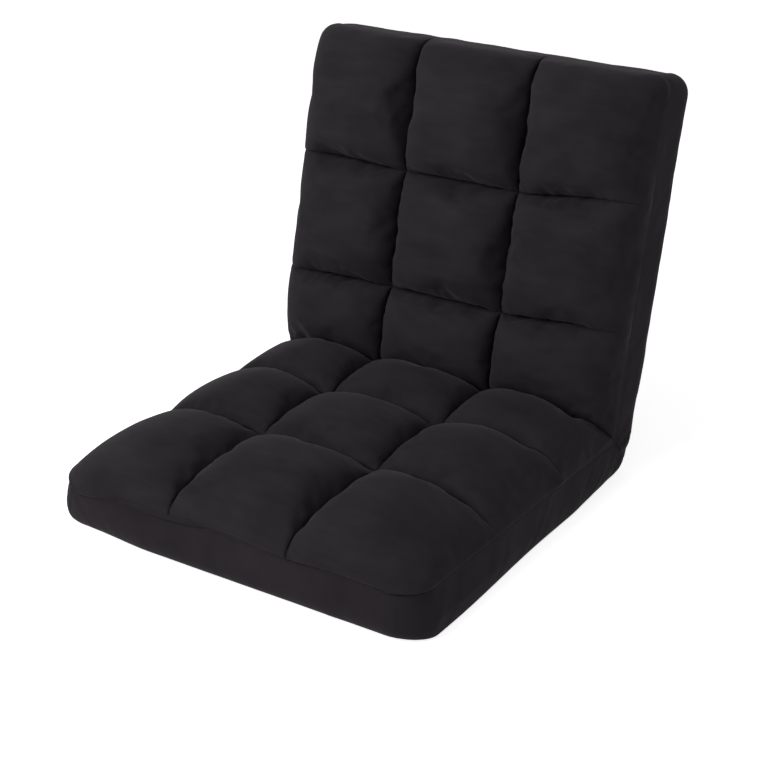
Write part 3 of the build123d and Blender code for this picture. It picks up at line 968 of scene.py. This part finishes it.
def border_outline(half, across, away, at_far_edge):
    """For points of the seam: where the strip bulges and where its hem is, seen in plan."""
    left = half.under_cut * left_end(across) * smooth((away - half.seam_length) / cut_reach + 1)
    hem_pull = half.hem_pull * left
    pulled_seam = pulled(half, tucked(half, (across, away, 0)))[:2]
    squeeze = (edge_half_width - half.edge_radius) / (seam_half_width - half.seam_radius)
    if at_far_edge:
        level = half.edge_length + half.edge_skew * across * squeeze
        hem = (across * squeeze, level - half.far_hem - hem_pull)
        return undercut((hem[0], level), pulled_seam, hem, left), hem
    seam_straight = half.seam_length - half.seam_radius
    edge_straight = half.edge_length - half.edge_radius
    turn = np.arcsin(np.clip((away - seam_straight) / half.seam_radius, 0, 1))
    shift_share = smooth((away / seam_straight - shift_start) / (1 - shift_start))
    shift = (edge_straight - seam_straight) * shift_share
    straight = np.minimum(away, seam_straight) + shift
    flare = half.flare * smooth((away - flare_start) / flare_span) * np.cos(turn)
    side_hem = from_fold(fold_hem, half.side_hem, away) + hem_pull
    narrowed = edge_half_width - from_fold(fold_pinch, 0, away)
    outlines = []
    for share in (0, 1):
        width = narrowed - half.edge_radius + (half.edge_radius - share * side_hem) * np.cos(turn)
        length = straight + (half.edge_radius - share * (half.far_hem + hem_pull)) * np.sin(turn)
        skewed = half.edge_skew * across * squeeze * far_share(half, away)
        outlines.append((np.sign(across) * (width + flare), length + skewed))
    bulge, hem = outlines
    return undercut(bulge, pulled_seam, hem, left), hem


def border_sections(half, seam, at_far_edge):
    """Sections from the hem up to the seam, in the chair's frame."""
    (bulge_x, bulge_away), (hem_x, hem_away) = border_outline(half, *seam[:2], at_far_edge)
    slant = np.zeros_like(bulge_x)
    hem_rise = np.full_like(bulge_x, -pad_depth)
    if not at_far_edge:
        slant, hem_rise = hem_line(seam[1])
    across, away, rise = pulled(half, tucked(half, seam))
    bulge_rise = hem_rise + bulge_share * (fold_seam - hem_rise)
    lines = []
    corner = np.clip((seam[1] - half.seam_length) / half.seam_radius + 1, 0, 1)
    slope = far_slope if at_far_edge else side_slope + (far_slope - side_slope) * corner
    for turn in section_turns:
        out = sin(turn) ** (2 / slope)
        down = 1 - max(cos(turn), 0) ** (2 / slope)
        lines.append(
            (
                across + (bulge_x - across) * out,
                away + (bulge_away - away) * out + slant * (1 - bulge_share) * down,
                rise + (bulge_rise - rise) * down,
            )
        )
    for turn in section_turns[1:]:
        out = 1 - max(cos(turn), 0) ** (2 / hem_power)
        down = sin(turn) ** (2 / hem_power)
        lines.append(
            (
                bulge_x + (hem_x - bulge_x) * out,
                bulge_away + (hem_away - bulge_away) * out + slant * (1 - bulge_share + bulge_share * down),
                bulge_rise + (hem_rise - bulge_rise) * down,
            )
        )
    return np.array([to_chair(half, *line) for line in lines[::-1]])


everything = slice(None)
backwards = slice(None, None, -1)
outwards = slice(1, -1)
inwards = slice(-2, 0, -1)
at_fold = slice(0, 1)
ring = (
    (seat, seat_quilt, -1, everything),
    (seat, seat_quilt, inwards, -1),
    (seat, seat_quilt, at_fold, -1),
    (back, back_quilt, outwards, -1),
    (back, back_quilt, -1, backwards),
    (back, back_quilt, inwards, 0),
    (seat, seat_quilt, at_fold, 0),
    (seat, seat_quilt, outwards, 0),
)
sections = []
for half, quilt_part, rows, lines in ring:
    seam = tuple(part[rows, lines] for part in quilt_part)
    sections.append(border_sections(half, seam, at_far_edge=rows == -1))
border_rows = np.concatenate(sections, axis=1)
ring_count = border_rows.shape[1]
print("border", border_rows.shape, "ring", ring_count, "of", len(seam_ring))

# %% Border strip
closed_rows = np.concatenate((border_rows, border_rows[:, :1]), axis=1)
border = cloth_grid("border_strip", closed_rows, plain_cloth)
bpy.ops.object.mode_set(mode="EDIT")
bpy.ops.mesh.select_all(action="SELECT")
bpy.ops.mesh.remove_doubles(threshold=0.00001)
bpy.ops.object.mode_set(mode="OBJECT")
change(border, "SUBSURF", levels=1, render_levels=1)
print("border", len(border.data.polygons), "faces")

# %% Gathers in the border
hem_fade = 12 * mm
top_fade = 8 * mm
fan_away = 12 * mm  # the folds fan out from a point this far beyond the fold axis
fan_rise = 30 * mm  # and this far above it
fan_reach = 58 * mm
fold_depth = 2.4 * mm
fold_turn = 0.16
small_fold_turn = 0.07
drag_depth = 0.7 * mm
drag_wave = 26 * mm
small_drag_wave = 13 * mm
side_start = 245 * mm
points, normals, of_back = surface(border)
relief = np.zeros(len(points))
for half, mine, seed in ((seat, ~of_back, 130), (back, of_back, 160)):
    across, away, rise = to_half(half, points[mine])
    inside = smooth((rise + pad_depth) / hem_fade) * smooth((fold_seam - rise) / top_fade)
    fan = np.arctan2(away + fan_away, fan_rise - rise) + np.sign(across)
    beside_fold = np.exp(-((np.hypot(away, rise) / fan_reach) ** 2))
    folds = waver(fan, fold_turn, seed) + waver(fan, small_fold_turn, seed + 1) / 2
    run = np.where(abs(across) < side_start, across, away + across)
    drag = waver(run, drag_wave, seed + 2) + waver(run + rise, small_drag_wave, seed + 3) / 2
    relief[mine] = inside * (fold_depth * abs(folds) * beside_fold + drag_depth * drag)
place_points(border, points + normals * relief[:, None])
print("deepest gather", round(abs(relief).max() / mm, 2), "mm")

# %% Give the border its thickness
cloth_thickness = 1.4 * mm
change(border, "SOLIDIFY", thickness=cloth_thickness, offset=-1)
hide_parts("seat_border", "back_border")
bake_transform(border)
print("border", len(border.data.polygons), "faces")

# %% [markdown]
# ## The panel underneath
#
# One plain panel closes the pad: flat under the seat, round the outside of the fold, and up behind
# the back. Its edge is the border's hem, so the same points are used, and straight threads are
# laid across from one side to the other. The far hems aren't straight, so the threads beside them
# are moved in until none crosses the next.

# %% Panel
least_step = 0.5 * mm
hem = border_rows[0]
front_hem = hem[:thread_count][::-1]
right_hem = hem[thread_count - 1 : thread_count + row_count - 1]
left_hem = np.concatenate((hem[:1], hem[: 2 * thread_count + row_count - 4 : -1]))
thread_share = (front_hem[:, 0] - front_hem[0, 0]) / (front_hem[-1, 0] - front_hem[0, 0])
panel_rows = right_hem[:, None] + (left_hem - right_hem)[:, None] * thread_share[None, :, None]
panel_rows[0] = front_hem
panel_rows[-1] = hem[thread_count + row_count - 2 : 2 * thread_count + row_count - 2]


def keep_order(rows, along):
    """Move inner threads on until each lies a least step further in than the one before."""
    inner = rows[:, 1:-1]
    step = least_step * np.arange(len(rows))[:, None]
    place = (inner - inner[0]) @ along
    ordered = np.maximum.accumulate(place - step, axis=0) + step
    inner += (ordered - place)[..., None] * along


keep_order(panel_rows[: row_count // 2], -seat.along)
keep_order(panel_rows[: row_count // 2 : -1], -back.along)
panel = cloth_grid("under_panel", panel_rows, plain_cloth)
print("panel", panel_rows.shape)

# %% Soft waves in the panel
edge_fade = 60 * mm
fold_overlap = 20 * mm
panel_swell = 2.2 * mm
wave_depth = 0.9 * mm
bend_reach = 62 * mm
bend_depth = 1.4 * mm
bend_turn = 0.17
points, normals, of_back = surface(panel)
offset = points - fold_axis
across, away, rise = to_half(back, points)
inside = smooth((edge_half_width - back.side_hem - abs(across)) / edge_fade)
below_top = smooth((back.edge_length - back.far_hem - away) / edge_fade)
up_back = smooth((away + fold_overlap) / edge_fade) * below_top
slow = waver(across + 0.3 * away, 90 * mm, 201) + waver(away - 0.4 * across, 70 * mm, 202)
turn = np.arctan2(-offset[:, 2], -offset[:, 1])
round_fold = np.exp(-((np.hypot(offset[:, 1], offset[:, 2]) / bend_reach) ** 2)) * of_back
folds = waver(turn + 0.15 * waver(across, 80 * mm, 203), bend_turn, 204)
relief = of_back * up_back * (panel_swell + wave_depth * slow) + round_fold * bend_depth * folds
relief *= inside
place_points(panel, points + normals * relief[:, None])
change(panel, "SOLIDIFY", thickness=cloth_thickness, offset=-1)
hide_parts("seat_bottom_panel", "back_rear_panel", "fold_cover")
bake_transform(panel)
print("panel", len(panel.data.polygons), "faces")

# %% [markdown]
# ## What lies inside
#
# Nobody sees the felt, foam, straps and steel while the cover is on, but the model can be taken
# apart. The CAD pieces have the right shape already, so each only gets a finish: loose fibres for
# the felt, small cells for the foam, ribs for the webbing, a thin black paint for the tubes, and
# zinc with a faint bloom for the hinges.


# %% Felt and foam
def finish_nodes(slot_name, material):
    """Give a finish to every CAD node with this material slot."""
    count = 0
    for part in frame["record"]["subparts"]:
        if part["material_slot"] == slot_name:
            frame["nodes"][part["node"]].data.materials.clear()
            frame["nodes"][part["node"]].data.materials.append(material)
            count += 1
    print(material.name, "on", count, "nodes")


felt, felt_shader, place = new_material("grey_needle_felt", Specular_IOR_Level=0.1)
fibres_one_way = place.stretched((0.3, 1.0, 1.0)).noise(900, 3.0)
fibres_other_way = place.stretched((1.0, 0.3, 1.0)).noise(800, 3.0)
fibres = fibres_one_way * 0.5 + fibres_other_way * 0.5
tone = fibres.between(0.35, 0.65).mix(colour(0.13, 0.125, 0.12), colour(0.27, 0.26, 0.25))
plug(felt_shader, Base_Color=tone, Roughness=0.85 + 0.12 * fibres, Normal=bump(fibres, 0.0012, 0.6))
finish_nodes("felt", felt)

foam, foam_shader, place = new_material("cream_foam", Specular_IOR_Level=0.15)
cells = place.add("ShaderNodeTexVoronoi", {}, {"Vector": place, "Scale": 650.0}, "Distance")
tone = (cells * 0.7 + place.noise(9) * 0.5).between(0.2, 0.8)
tone = tone.mix(colour(0.60, 0.55, 0.43), colour(0.80, 0.76, 0.65))
plug(foam_shader, Base_Color=tone, Roughness=0.80 + 0.15 * cells, Normal=bump(cells, 0.0006, 0.6))
finish_nodes("foam", foam)

# %% Webbing
webbing, webbing_shader, place = new_material("black_elastic_webbing", Specular_IOR_Level=0.2)
along_y = place.add("ShaderNodeSeparateXYZ", {}, {"Vector": place}, "Y")
along_z = place.add("ShaderNodeSeparateXYZ", {}, {"Vector": place}, "Z")
ribs = 0.5 + 0.5 * ((along_y + along_z) * 2400).maths("SINE")
tone = (ribs * 0.7 + place.noise(400) * 0.3).mix(colour(0.018, 0.018, 0.021), colour(0.042, 0.042, 0.048))
plug(webbing_shader, Base_Color=tone, Roughness=0.62 + 0.2 * ribs, Normal=bump(ribs, 0.0004, 0.7))
finish_nodes("webbing", webbing)

# %% Paint and steel
paint, paint_shader, place = new_material("black_frame_paint", Coat_Roughness=0.25)
peel = place.noise(320, 2.0)
dust = place.noise(14, 4.0).between(0.35, 0.75)
plug(paint_shader, Base_Color=dust.mix(colour(0.020, 0.020, 0.022), colour(0.032, 0.031, 0.031)))
plug(paint_shader, Roughness=0.34 + 0.16 * dust, Coat_Weight=0.25 - 0.15 * dust)
plug(paint_shader, Normal=bump(peel, 0.0002, 0.4))
finish_nodes("frame_paint", paint)


def plated(name, dark, light, roughness):
    """Rolled steel with a thin plating that has bloomed in patches."""
    material, shader, place = new_material(name, Metallic=1.0)
    rolled = place.stretched((1.0, 0.06, 1.0)).noise(900, 2.0)
    bloom = place.noise(45, 4.0).between(0.3, 0.7)
    plug(shader, Base_Color=(bloom * 0.7 + rolled * 0.3).mix(dark, light))
    plug(shader, Roughness=roughness + 0.14 * bloom + 0.10 * rolled, Normal=bump(rolled, 0.00008, 0.5))
    return material


zinc = plated("zinc_plated_steel", colour(0.48, 0.48, 0.50), colour(0.62, 0.62, 0.63), 0.26)
finish_nodes("hinge_steel", zinc)
wire_steel = plated("spring_wire", colour(0.34, 0.34, 0.36), colour(0.46, 0.46, 0.47), 0.20)
finish_nodes("spring_steel", wire_steel)
